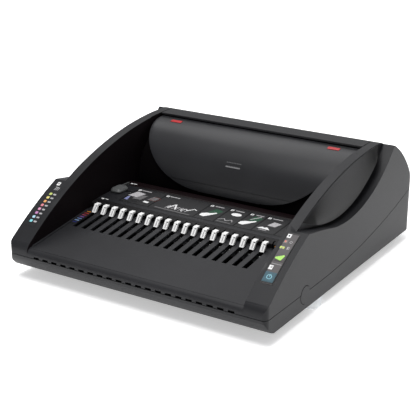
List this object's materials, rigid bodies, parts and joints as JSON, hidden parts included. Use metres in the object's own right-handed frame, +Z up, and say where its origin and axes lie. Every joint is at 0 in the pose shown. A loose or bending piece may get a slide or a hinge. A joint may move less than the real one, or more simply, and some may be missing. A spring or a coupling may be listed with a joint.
{
  "type": "comb binding machine",
  "caption": "Electric desktop comb binding machine with a curved lift-back drum handle, open sloping tray, rows of white comb hooks, a page throat and a key strip on the rim.",
  "frame": {"origin": "on the table, under the centre of the machine", "axes": "+X to the right of a person at the machine, +Y to the rear, +Z up"},
  "size_m": [0.376, 0.416, 0.1555],
  "materials": {
    "casing_plastic": "fine moulded texture, satin",
    "drum_plastic": "smooth satin",
    "black_plastic": "fine moulded texture",
    "foot_rubber": "translucent, soft",
    "print": "printed film",
    "signal_light": "clear coloured lens",
    "circuit_board": "solder mask",
    "board_part": "moulded",
    "bare_steel": "ground",
    "motor_case": "satin",
    "copper_coil": "enamelled wire under tape",
    "gear_nylon": "moulded nylon",
    "marker_red": "clear red inlay",
    "hook_white": "moulded",
    "key_teal": "soft gloss",
    "key_green": "soft gloss",
    "guide_grey": "satin"
  },
  "bodies": {
    "base": {"lower_shell": "casing_plastic", "front_feet": "foot_rubber", "rear_feet": "foot_rubber", "left_cheek": "casing_plastic", "right_cheek": "casing_plastic", "left_side_inset": "casing_plastic", "right_side_inset": "casing_plastic", "tray_deck": "casing_plastic", "comb_rack": "black_plastic", "mid_deck": "casing_plastic", "instruction_strip": "print", "throat_bar": "black_plastic", "rear_cover": "casing_plastic", "drum_liner": "black_plastic", "liner_ribs": "bare_steel", "tray_scales": "print", "comb_size_chart": "print", "panel_bezel": "black_plastic", "status_leds": "signal_light", "panel_board": "circuit_board", "base_plate": "bare_steel", "base_screws": "bare_steel", "die_plate": "bare_steel", "guide_plate": "bare_steel", "paper_stop": "bare_steel", "punch_frame_ends": "bare_steel", "left_bearing": "bare_steel", "gear_plate": "bare_steel", "idler_stud": "bare_steel", "gear_motor": "motor_case", "transformer_core": "motor_case", "transformer_coil": "copper_coil", "main_board": "circuit_board", "board_parts": "board_part", "power_inlet": "black_plastic", "inlet_pins": "bare_steel", "hub_bushings": "gear_nylon", "guide_pins": "bare_steel", "drawer_rails": "black_plastic", "edge_guide_rail": "bare_steel"},
    "handle": {"handle_skin": "drum_plastic", "handle_arms": "black_plastic", "handle_pinions": "bare_steel", "handle_markers": "marker_red"},
    "opener": {"opener_bar": "bare_steel", "opener_hooks": "hook_white", "slide_plates": "bare_steel"},
    "punch": {"punch_bar": "bare_steel", "punch_pins": "bare_steel", "cam_yokes": "bare_steel"},
    "cam": {"camshaft": "bare_steel", "eccentrics": "bare_steel", "cam_gear": "gear_nylon"},
    "idler": {"idler_gear": "gear_nylon"},
    "pinion": {"motor_pinion": "bare_steel"},
    "drawer": {"chip_drawer": "casing_plastic"},
    "power_key": {"power_button": "key_teal"},
    "punch_key": {"punch_button": "key_green"},
    "guide": {"edge_guide": "guide_grey"}
  },
  "joints": [
    {"name": "handle_turn", "type": "hinge", "parent": "base", "child": "handle", "pos_m": [0, 0.094, 0.074], "axis": [-1, 0, 0], "range_deg": [0, 50]},
    {"name": "opener_slide", "type": "slide", "parent": "base", "child": "opener", "axis": [0, -0.9914, -0.1305], "range_m": [0, 0.0316]},
    {"name": "cam_spin", "type": "hinge", "parent": "base", "child": "cam", "pos_m": [0, 0.052, 0.044], "axis": [1, 0, 0], "range_deg": [0, 180]},
    {"name": "punch_slide", "type": "slide", "parent": "base", "child": "punch", "axis": [0, -1, 0], "range_m": [0, 0.009]},
    {"name": "idler_spin", "type": "hinge", "parent": "base", "child": "idler", "pos_m": [0, 0.09799, 0.0623], "axis": [1, 0, 0], "range_deg": [-151, 0]},
    {"name": "pinion_spin", "type": "hinge", "parent": "base", "child": "pinion", "pos_m": [0, 0.13112, 0.04318], "axis": [1, 0, 0], "range_deg": [0, 361]},
    {"name": "drawer_slide", "type": "slide", "parent": "base", "child": "drawer", "axis": [-1, 0, 0], "range_m": [0, 0.25]},
    {"name": "power_press", "type": "slide", "parent": "base", "child": "power_key", "axis": [0, 0.5476, -0.8368], "range_m": [0, 0.001], "stiffness_N_per_m": 200},
    {"name": "punch_press", "type": "slide", "parent": "base", "child": "punch_key", "axis": [0, 0.5008, -0.8656], "range_m": [0, 0.001], "stiffness_N_per_m": 200},
    {"name": "guide_slide", "type": "slide", "parent": "base", "child": "guide", "axis": [1, 0, 0], "range_m": [0, 0.008]}
  ],
  "couplings": [
    {"joint": "opener_slide", "follows": "handle_turn", "m_per_rad": 0.036},
    {"joint": "cam_spin", "follows": "punch_slide", "rad_per_m": 349},
    {"joint": "idler_spin", "follows": "punch_slide", "rad_per_m": -290.83},
    {"joint": "pinion_spin", "follows": "punch_slide", "rad_per_m": 698}
  ]
}
